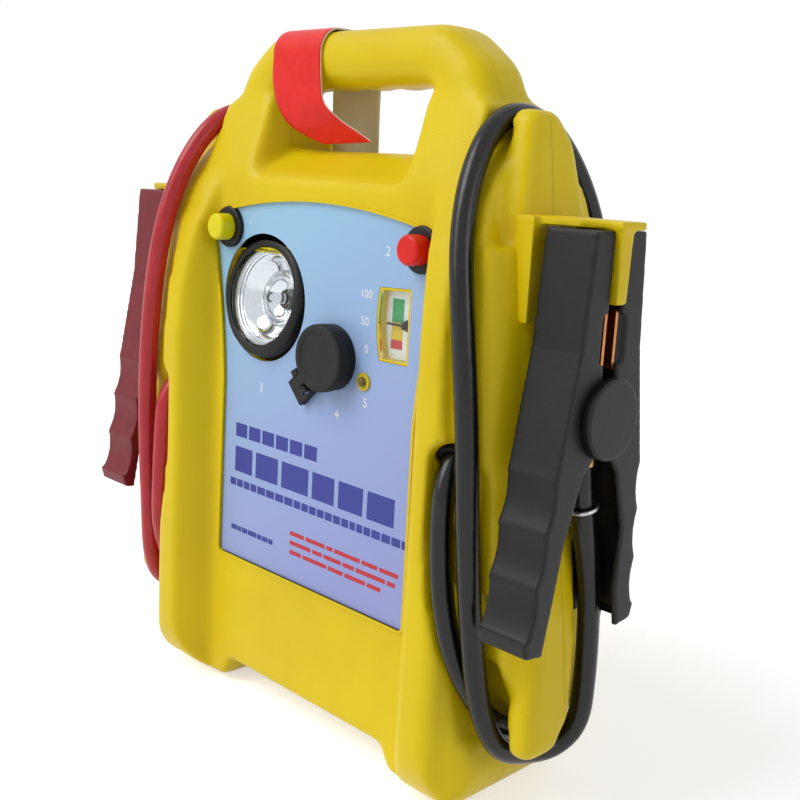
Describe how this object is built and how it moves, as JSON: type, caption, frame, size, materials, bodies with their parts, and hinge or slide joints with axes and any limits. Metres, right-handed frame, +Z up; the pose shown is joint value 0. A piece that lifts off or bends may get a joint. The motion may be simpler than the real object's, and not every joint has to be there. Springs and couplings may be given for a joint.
{
  "type": "jump starter pack",
  "caption": "Portable jump starter: yellow case with carry handle, tilting lamp, 12 V outlet, charge gauge and two heavy clamp leads wound round its sides.",
  "frame": {"origin": "on the ground, under the middle of the case's bounding box without its leads and clamps", "axes": "+X towards the user's right, -Y the front with the controls, +Z up"},
  "size_m": [0.356, 0.1193, 0.3854],
  "materials": {
    "yellow_plastic": "fine-grained moulded yellow plastic",
    "black_plastic": "black moulded plastic",
    "steel": "zinc-plated steel",
    "brass": "brass",
    "printed_label": "pale blue printed sheet with plain stripes and numbers",
    "dial_card": "white card with coloured bands",
    "needle_black": "black painted pointer",
    "clear_plastic": "clear moulded plastic",
    "red_lens": "red indicator lens",
    "circuit_board": "green circuit board with soldered parts",
    "lamp_red": "dark red moulded plastic",
    "reflector_chrome": "vacuum-plated reflector",
    "bulb_glass": "bulb glass",
    "black_rubber": "soft black rubber",
    "battery_grey": "battery case",
    "foam_pad": "foam strip",
    "yellow_button": "yellow button",
    "red_button": "red button",
    "black_jacket": "black cable jacket",
    "red_jacket": "red cable jacket",
    "red_plastic": "dark red moulded plastic",
    "copper_jaw": "copper-plated jaw plate",
    "red_tag": "soft red plastic strip"
  },
  "bodies": {
    "case": {"front_shell": "yellow_plastic", "rear_shell": "yellow_plastic", "case_screws": "steel", "front_label": "printed_label", "gauge_case": "black_plastic", "gauge_dial": "dial_card", "gauge_movement": "black_plastic", "gauge_window": "clear_plastic", "charge_led": "red_lens", "led_clip": "black_plastic", "circuit_board": "circuit_board", "lamp_bowl": "black_plastic", "socket_body": "black_plastic", "socket_liner": "steel", "socket_contact": "brass", "socket_nut": "black_plastic", "cap_hinge_pin": "steel", "battery": "battery_grey", "battery_posts": "brass", "battery_pads": "foam_pad", "battery_strap": "steel", "light_bezel": "black_plastic", "light_switch": "black_plastic", "status_bezel": "black_plastic", "status_switch": "black_plastic", "lead_grommets": "black_rubber", "holder_screws": "steel", "lead_ferrules": "brass", "cable_rings": "steel", "handle_tag": "red_tag", "black_cable": "black_jacket", "black_battery_lug": "brass", "black_clamp_holder": "yellow_plastic", "black_clamp_rear": "black_plastic", "black_jaw_rear": "copper_jaw", "black_clamp_pin": "black_plastic", "black_clamp_spring": "steel", "red_cable": "red_jacket", "red_battery_lug": "brass", "red_clamp_holder": "yellow_plastic", "red_clamp_rear": "red_plastic", "red_jaw_rear": "copper_jaw", "red_clamp_pin": "red_plastic", "red_clamp_spring": "steel"},
    "light_button_body": {"light_button": "yellow_button"},
    "status_button_body": {"status_button": "red_button"},
    "lamp": {"lamp_housing": "lamp_red", "lamp_lens": "clear_plastic", "lamp_reflector": "reflector_chrome", "lamp_bulb": "bulb_glass"},
    "outlet_cap": {"socket_cap": "black_rubber"},
    "needle": {"gauge_needle": "needle_black"},
    "black_front_lever": {"black_clamp_front": "black_plastic", "black_jaw_front": "copper_jaw"},
    "red_front_lever": {"red_clamp_front": "red_plastic", "red_jaw_front": "copper_jaw"}
  },
  "joints": [
    {"name": "light_button_press", "type": "slide", "parent": "case", "child": "light_button_body", "axis": [0, 1, 0], "range_m": [0, 0.003], "stiffness_N_per_m": 400, "springref_m": -0.002},
    {"name": "status_button_press", "type": "slide", "parent": "case", "child": "status_button_body", "axis": [0, 1, 0], "range_m": [0, 0.003], "stiffness_N_per_m": 400, "springref_m": -0.002},
    {"name": "lamp_tilt", "type": "hinge", "parent": "case", "child": "lamp", "pos_m": [-0.0444, -0.0268, 0.24], "axis": [-1, 0, 0], "range_deg": [-20, 8]},
    {"name": "outlet_cap_swing", "type": "hinge", "parent": "case", "child": "outlet_cap", "pos_m": [-0.00146, -0.0408, 0.20066], "axis": [0.6822, 0, -0.7312], "range_deg": [0, 120]},
    {"name": "needle_swing", "type": "hinge", "parent": "case", "child": "needle", "pos_m": [0.0625, -0.0275, 0.2385], "axis": [0, 1, 0], "range_deg": [-25, 25], "stiffness_Nm_per_rad": 0.0002},
    {"name": "black_clamp_squeeze", "type": "hinge", "parent": "case", "child": "black_front_lever", "pos_m": [0.16, -0.0144, 0.212], "axis": [1, 0, 0], "range_deg": [0, 5.5], "stiffness_Nm_per_rad": 1.2, "springref_deg": -20.05},
    {"name": "red_clamp_squeeze", "type": "hinge", "parent": "case", "child": "red_front_lever", "pos_m": [-0.16, -0.0144, 0.212], "axis": [1, 0, 0], "range_deg": [0, 5.5], "stiffness_Nm_per_rad": 1.2, "springref_deg": -20.05}
  ]
}
